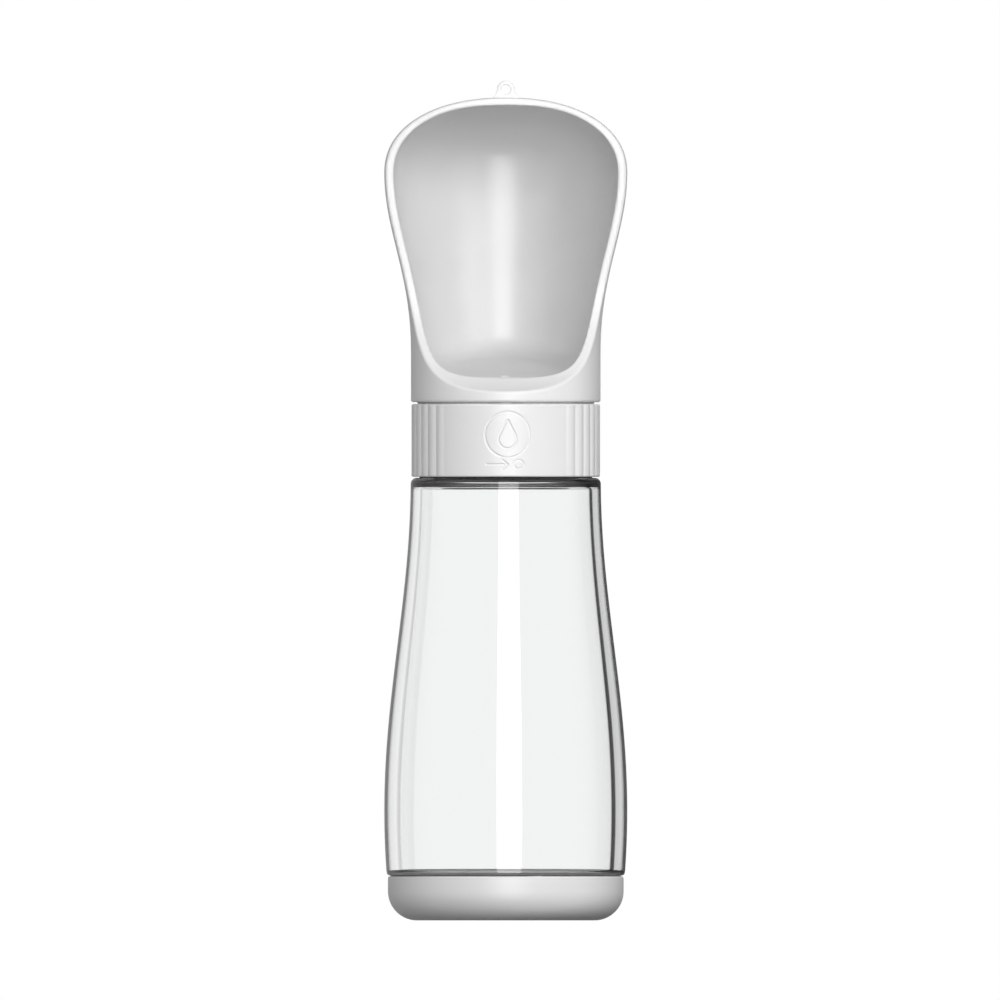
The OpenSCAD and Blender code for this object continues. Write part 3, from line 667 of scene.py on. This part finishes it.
def scoop_field(shape, x, y, z):
    """Distance to the scoop's moulding, negative in the plastic."""
    r = np.hypot(x, y)
    outside, inside = shape["outside"](r, z), shape["inside"](r, z)
    keep = shape["front"](y, z)
    # Room over the sloping floor: a trough at the front, round at the back
    yc, zc = y - BOWL_Y, z - floor_height(BOWL_Y)
    yr, zr = yc * math.cos(SLOPE) + zc * math.sin(SLOPE), -yc * math.sin(SLOPE) + zc * math.cos(SLOPE)
    across = np.hypot(x, np.maximum(yr, 0))
    room = shape["room"](across, zr)
    at_back = smooth((y + 12) / 14)
    bowl = blend_max(inside, room, 3) * (1 - at_back) + blend_max(shape["walls"](r, z), room, 5) * at_back
    shell = np.maximum(outside, -bowl)
    shell = blend_max(shell, keep, 0.55)
    # Dry space under the floor, above the valve
    ceiling, collar_r, collar_bore = SCOOP_Z0 + 2.9, RING_BORE - 0.08, RING_BORE - 1.68
    upper = np.maximum.reduce([r - (WAIST_R - WALL), ceiling - 1 - z, -(room - WALL), -(y + PORT_Y - SEAT_R)])
    lower = np.maximum(r - collar_bore, z - ceiling)
    dry = np.minimum(np.maximum(upper, ceiling - z), np.maximum(lower, 160 - z))
    solid = np.maximum(shell, -dry)
    collar = np.maximum.reduce([r - collar_r, collar_bore - r, 167.5 - z, z - SCOOP_Z0 - 1])
    solid = np.minimum(solid, collar)
    # Centre boss, port seat and ribs on the underside
    floor = floor_height(y) - WALL / 2
    boss = np.maximum.reduce([r - BOSS_R, BOSS_Z0 - z, z - floor])
    key = np.maximum.reduce([r - KEY_R, np.abs(x) - KEY_HALF, KEY_Z0 - z, z - 165])
    port = np.hypot(x, y + PORT_Y)
    seat = np.maximum.reduce([port - SEAT_R, SEAT_Z0 - z, z - floor])
    solid = np.minimum.reduce([solid, boss, key, seat])
    for a in np.radians(WEB_ANGLES):
        along, side = x * math.cos(a) + y * math.sin(a), np.abs(-x * math.sin(a) + y * math.cos(a)) - WEB_HALF
        foot = np.where(along > collar_bore, ceiling, SCOOP_Z0 + 0.6)
        web = np.maximum.reduce([side, 4 - along, along - WAIST_R + WALL / 2, foot - z, z - floor])
        solid = np.minimum(solid, web)
    # Port, seal seat and screw hole
    duct = np.maximum(port - PORT_R, z - floor - 8)
    bevel = np.hypot(x, yr + (PORT_Y + BOWL_Y) / math.cos(SLOPE)) - PORT_R - PORT_BEVEL - zr
    duct = np.minimum(duct, np.maximum(bevel * 0.707, np.abs(zr) - PORT_BEVEL))
    solid = blend_max(solid, -duct, 0.15)
    solid = np.maximum(solid, -np.maximum(port - SEAL_R, z - SEAL_Z1))
    return np.maximum(solid, -np.maximum(r - SCREW_R, z - SCREW_Z1))


def grid_axis(low, high, step, close):
    """Places of the cells' corners along an axis, at half the step near a small detail."""
    return np.concatenate([
        np.arange(close[0] - step, low - step, -step)[::-1], np.arange(close[0], close[1], step / 2),
        np.arange(close[1], high + step, step)])


def field_mesh(field, axes):
    """Closed mesh of the surface where the field is nothing, one point to a cell."""
    x, y, z = np.meshgrid(*axes, indexing="ij")
    values = field(x, y, z)
    sign = values < 0
    cells = tuple(n - 1 for n in values.shape)
    total, count = np.zeros((*cells, 3)), np.zeros(cells)
    for axis in range(3):
        others = [i for i in range(3) if i != axis]
        start = [slice(None)] * 3
        end = [slice(None)] * 3
        start[axis], end[axis] = slice(0, -1), slice(1, None)
        v0, v1 = values[tuple(start)], values[tuple(end)]
        cross = (v0 < 0) != (v1 < 0)
        t = np.where(cross, v0 / np.where(cross, v0 - v1, 1), 0)
        for du in (0, 1):
            for dv in (0, 1):
                pick = [slice(None)] * 3
                pick[others[0]] = slice(du, du + cells[others[0]])
                pick[others[1]] = slice(dv, dv + cells[others[1]])
                hit, share = cross[tuple(pick)], t[tuple(pick)]
                count += hit
                offset = [0.0, 0.0, 0.0]
                offset[others[0]], offset[others[1]] = du, dv
                for i in range(3):
                    total[..., i] += hit * (share if i == axis else offset[i])
    active = count > 0
    index = np.full(cells, -1)
    index[active] = np.arange(active.sum())
    at = np.argwhere(active) + total[active] / count[active][:, None]
    points = np.stack([np.interp(at[:, i], np.arange(len(axes[i])), axes[i]) for i in range(3)], 1)
    quads = []
    for axis in range(3):
        u, v = (axis + 1) % 3, (axis + 2) % 3
        start = [slice(1, -1)] * 3
        end = [slice(1, -1)] * 3
        start[axis], end[axis] = slice(0, -1), slice(1, None)
        s0, s1 = sign[tuple(start)], sign[tuple(end)]
        for inward in (False, True):
            at = np.argwhere(s0 & ~s1 if not inward else s1 & ~s0) + 1
            at[:, axis] -= 1
            corners = []
            for du, dv in ((-1, -1), (0, -1), (0, 0), (-1, 0)):
                cell = at.copy()
                cell[:, u] += du
                cell[:, v] += dv
                corners.append(index[tuple(cell.T)])
            quads.append(np.stack(corners[::-1] if inward else corners, 1))
    return points, np.concatenate(quads)


def slope(field, p, e):
    """How fast the field grows along each axis at the points p."""
    return np.stack([(field(*(p + d).T) - field(*(p - d).T)) / (2 * e) for d in np.eye(3) * e], 1)


def settle(field, points, quads, rounds=3, even=2):
    """Moves the points onto the surface, and evens their spacing along it."""
    def slide(p):
        grad = slope(field, p, 0.06)
        size = np.maximum((grad ** 2).sum(1), 0.2)
        return p - np.clip(field(*p.T) / size, -0.3, 0.3)[:, None] * grad
    for n in range(rounds):
        points = slide(points)
        if n < even:
            total, count = np.zeros_like(points), np.zeros(len(points))
            for a, b in ((0, 1), (1, 2), (2, 3), (3, 0)):
                np.add.at(total, quads[:, a], points[quads[:, b]])
                np.add.at(count, quads[:, a], 1)
                np.add.at(total, quads[:, b], points[quads[:, a]])
                np.add.at(count, quads[:, b], 1)
            points = points + 0.5 * (total / count[:, None] - points)
    return slide(slide(points))


def make_scoop(material):
    shape = scoop_profiles()

    def field(x, y, z):
        return scoop_field(shape, x, y, z)

    step = 0.8
    axes = [grid_axis(-42.3, 42.4, step, (-3.02, 3.03)), grid_axis(-34.3, 42.4, step, (-21.77, -15.4)),
            grid_axis(159.1, 273.2, step, (177.61, 180.2))]
    points, quads = field_mesh(field, axes)
    points = settle(field, points, quads)
    piece = add_mesh("drinking_scoop", points, quads.tolist(), material)
    x, y, z = points.T
    # Mark of the bowl, which gets the deeper grain and the grey tone of painted shade
    in_bowl = smooth(-(shape["front"](y, z) + 0.2) / 1.2) * (shape["outside"](np.hypot(x, y), z) < -1.2)
    in_bowl *= z > floor_height(y) - 1
    mark = piece.data.attributes.new("bowl", "FLOAT", "POINT")
    mark.data.foreach_set("value", in_bowl.astype(np.float32))
    # Shading follows the field itself, so that the rim's round edges stay clean
    normals = slope(field, points, 0.3)
    size = np.linalg.norm(normals, axis=1, keepdims=True)
    normals = np.where(size > 0.05, normals / np.maximum(size, 0.05), (0, 0, 1))
    piece.data.normals_split_custom_set_from_vertices(normals.tolist())
    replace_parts(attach(piece, "head"), "scoop")


# Lanyard eye: a rounded loop that grows out of the crown

def make_eye(material):
    hole_r, eye_r, flare, half, rise, edge = 1.55, 2.9, 1.4, 1.6, 2.6, 0.3
    hole_z, foot_z = SCOOP_Z1 + rise, SCOOP_Z1 - 0.6

    def side(a):
        """Distance of the outline from the hole's middle, in the direction a from straight up."""
        x, z = math.sin(a), math.cos(a)
        if z > 0:
            return eye_r
        for t in np.linspace(0.5, 9, 400):
            u = min(max(1 + t * z / rise, 0), 1)
            if t * abs(x) > eye_r + flare * (1 - u) ** 2 or t * z < foot_z - hole_z:
                return t
        return 9

    angles = np.arange(96) * TURN / 96
    out_r = np.array([side(a) for a in angles])
    loops = []
    for r, y in [(hole_r + edge, -half), (hole_r, -half + edge), (hole_r, half - edge), (hole_r + edge, half),
                 (out_r - edge, half), (out_r - 0.09, half - 0.09), (out_r, half - edge),
                 (out_r, -half + edge), (out_r - 0.09, -half + 0.09), (out_r - edge, -half)]:
        r = r + 0 * out_r
        loops.append(np.stack([r * np.sin(angles), y + 0 * angles, hole_z + r * np.cos(angles)], 1))
    rows, n, faces = len(loops), len(angles), []
    for i in range(rows):
        a, b = i * n, (i + 1) % rows * n
        faces.extend([a + j, b + j, b + (j + 1) % n, a + (j + 1) % n] for j in range(n))
    piece = add_mesh("lanyard_eye", np.concatenate(loops), faces, material)
    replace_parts(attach(piece, "head"), "lanyard_lug")


# Studio

def add_lamp(name, place, target, size, radiance):
    """A rectangular soft light, size = (width, height), that shines towards the target, itself unseen."""
    data = bpy.data.lights.new(name, "AREA")
    data.shape = "RECTANGLE"
    data.size, data.size_y = size
    data.energy = radiance * math.pi * size[0] * size[1]
    lamp = bpy.data.objects.new(name, data)
    bpy.context.scene.collection.objects.link(lamp)
    lamp.location = place
    lamp.rotation_mode = "QUATERNION"
    lamp.rotation_quaternion = (Vector(target) - Vector(place)).to_track_quat("-Z", "Y")
    lamp.visible_camera = lamp.visible_transmission = False
    return lamp


def around(azimuth, elevation, distance):
    """A place round the object's middle: azimuth 0 is in front of it and 90 at its right."""
    a, e, middle_z = math.radians(azimuth), math.radians(elevation), 0.15
    flat = distance * math.cos(e)
    return flat * math.sin(a), -flat * math.cos(a), middle_z + distance * math.sin(e)


def make_lights():
    middle = (0, 0, 0.16)
    add_lamp("front_strip", around(3.3, 4, 1.6), middle, (0.68, 2.4), 4.6)
    # The other lamps light the object but leave no reflection in the clear body
    for name, place, size, radiance in [
            ("key_softbox", around(40, 25, 1.5), 0.8, 4.9), ("left_fill", around(-82, 15, 1.5), 0.8, 1.6),
            ("top_fill", around(0, 88, 1.5), 0.9, 0.5), ("back_softbox", around(172, 12, 1.6), 1.1, 4.8)]:
        add_lamp(name, place, middle, (size, size), radiance).visible_glossy = False


def make_world():
    world = bpy.data.worlds.new("studio")
    bpy.context.scene.world = world
    world.use_nodes = True
    tree = world.node_tree
    tree.nodes.clear()
    path = add(tree, "ShaderNodeLightPath").outputs
    way = add(tree, "ShaderNodeTexCoord").outputs["Generated"]
    part = add(tree, "ShaderNodeSeparateXYZ", {0: way}).outputs
    # Direction round the object, from nothing to one, with 0.5 straight behind it and more at its right
    angle = add(tree, "ShaderNodeMath", {0: part["X"], 1: part["Y"]}, operation="ARCTAN2").outputs[0]
    turn = add(tree, "ShaderNodeMath", {0: angle, 1: 1 / TURN, 2: 0.5}, operation="MULTIPLY_ADD").outputs[0]

    def ring_of(stops):
        """Grey levels round the object, from (degrees, level) pairs."""
        ramp = add(tree, "ShaderNodeValToRGB", {"Fac": turn})
        points = ramp.color_ramp.elements
        while len(points) < len(stops):
            points.new(0.5)
        for point, (degrees, level) in zip(points, stops):
            point.position, point.color = degrees / 360 + 0.5, (level, level, level, 1)
        return ramp.outputs["Color"]

    # Seen through clear plastic: a white room with a narrow flag on each side behind, the right one black
    through = ring_of([
        (-50, 1), (-46.5, 0.7), (-42, 0.7), (-40, 1), (-22, 0.94), (-5, 1),
        (5, 1), (22, 0.86), (37.5, 0.66), (39.5, 0), (46.5, 0), (50, 1)])
    # Seen in a gloss: the same room, darker behind
    mirrored_room = ring_of([(-96, 1), (-60, 0.45), (0, 0.35), (10, 0.12), (60, 0.12), (96, 1)])
    seen = calculator(tree)("MAXIMUM", path["Is Glossy Ray"], path["Is Transmission Ray"])
    room = mix(tree, path["Is Transmission Ray"], mirrored_room, through)
    # What lights a matt surface is dim, and the camera sees plain white
    plain = mix(tree, seen, 0.07, room)
    colour = mix(tree, path["Is Camera Ray"], plain, 1.0)
    back = add(tree, "ShaderNodeBackground", {"Color": colour, "Strength": 1.0})
    add(tree, "ShaderNodeOutputWorld", {"Surface": back.outputs[0]})


def make_floor():
    """A round paper that shows the shadow near the object and fades to white towards its edge."""
    radius, drop = 1400, 0.2
    angles = np.arange(96) * TURN / 96
    edge = np.stack([radius * np.cos(angles), radius * np.sin(angles), 0 * angles - drop], 1)
    floor = add_mesh("studio_floor", edge, [list(range(96))])
    material = bpy.data.materials.new("studio_floor_paper")
    material.use_nodes = True
    tree = material.node_tree
    tree.nodes.clear()
    path = add(tree, "ShaderNodeLightPath").outputs
    place = add(tree, "ShaderNodeTexCoord").outputs["Object"]
    away = add(tree, "ShaderNodeVectorMath", {0: place}, operation="LENGTH").outputs["Value"]
    fade = add(tree, "ShaderNodeMapRange", {"Value": away, "From Min": 0.3, "From Max": 1.3},
               interpolation_type="SMOOTHSTEP").outputs["Result"]
    paper = add(tree, "ShaderNodeBsdfDiffuse", {"Color": mix(tree, fade, 0.3, 0.0)}).outputs[0]
    glow = add(tree, "ShaderNodeEmission", {"Color": mix(tree, fade, 0.76, 1.0), "Strength": 1.0}).outputs[0]
    white = add(tree, "ShaderNodeAddShader", {0: paper, 1: glow}).outputs[0]
    plain = add(tree, "ShaderNodeBsdfDiffuse", {"Color": (0.2, 0.2, 0.2, 1)}).outputs[0]
    mixed = add(tree, "ShaderNodeMixShader", {0: path["Is Diffuse Ray"], 1: white, 2: plain}).outputs[0]
    add(tree, "ShaderNodeOutputMaterial", {"Surface": mixed})
    floor.data.materials.append(material)
    floor.visible_glossy = floor.visible_transmission = False


def make_camera():
    """Looks from straight in front, with the object as large and where the photograph has it."""
    data = bpy.data.cameras.new("camera")
    data.type = "ORTHO"
    data.ortho_scale = 0.3292
    camera = bpy.data.objects.new("camera", data)
    bpy.context.scene.collection.objects.link(camera)
    camera.location = (-0.0019, -1.2, 0.1384)
    camera.rotation_euler = (math.pi / 2, 0, 0)
    bpy.context.scene.camera = camera


def dress(node, material):
    """Gives a carried-over solid its material."""
    NODES[node].data.materials.clear()
    NODES[node].data.materials.append(material)


def main():
    bpy.context.scene.view_settings.view_transform = "Standard"
    abs_satin = white_abs()
    # The dark ends of these two ramps are painted shade: the outer edge line and the inner wall's line
    clear = clear_copolyester("clear_copolyester", 0.69, 0.78, "#1c1c1d")
    clear_inside = clear_copolyester("clear_copolyester_bore", 0.86, 0.94, "#505254")
    acetal, steel = natural_acetal(), stainless_steel()
    # Painted shade: the dark gasket under the ring stands in for the shade seen through the clear shoulder;
    # the same dark silicone also makes the sealing washer
    dark = silicone("silicone_dark_painted_shade", "#1b1b1c", "#242425")
    # Painted shade: the grey gasket at the foot stands in for the shade of the gap over the base cap, seen
    # through the clear foot
    grey = silicone("silicone_grey_painted_shade", "#77787a", "#828385")
    milky = silicone("silicone_milky", "#d8d8d6", "#e2e2e0")
    make_camera()
    make_lights()
    make_world()
    make_floor()
    make_body(clear, clear_inside)
    make_gasket("base_seal_ring", "base_gasket", "base_seal", FOOT_GROOVE,
                BASE_TOP, BODY_Z0 + FOOT_GROOVE_D, grey)
    make_gasket("neck_seal_ring", "neck_gasket", "neck_seal", NECK_GROOVE,
                BODY_Z1 - NECK_GROOVE_D, RING_Z0, dark)
    make_base(abs_satin)
    threads = thread_tree()
    make_thread("neck_cap_thread", "head", threads, acetal, {
        "Radius": (CAP_BORE + 0.15) * MM, "Bead": 0.75 * MM, "Lead": NECK_LEAD * MM, "Turns": 1.2,
        "Height": 149.6 * MM, "Starts": NECK_STARTS})
    make_thread("base_cup_thread", "base", threads, abs_satin, {
        "Radius": (BASE_BORE + 0.15) * MM, "Bead": 0.75 * MM, "Lead": BASE_LEAD * MM, "Turns": 0.8,
        "Height": 10.9 * MM, "Starts": 1})
    make_ring(abs_satin)
    make_scoop(scoop_abs())
    make_eye(abs_satin)
    for node in ("neck_cap", "valve_disc"):
        dress(node, acetal)
    for node in ("vent_valve", "lower_port_seal", "upper_port_seal"):
        dress(node, milky)
    dress("pivot_screw", steel)
    dress("sealing_washer", dark)


main()
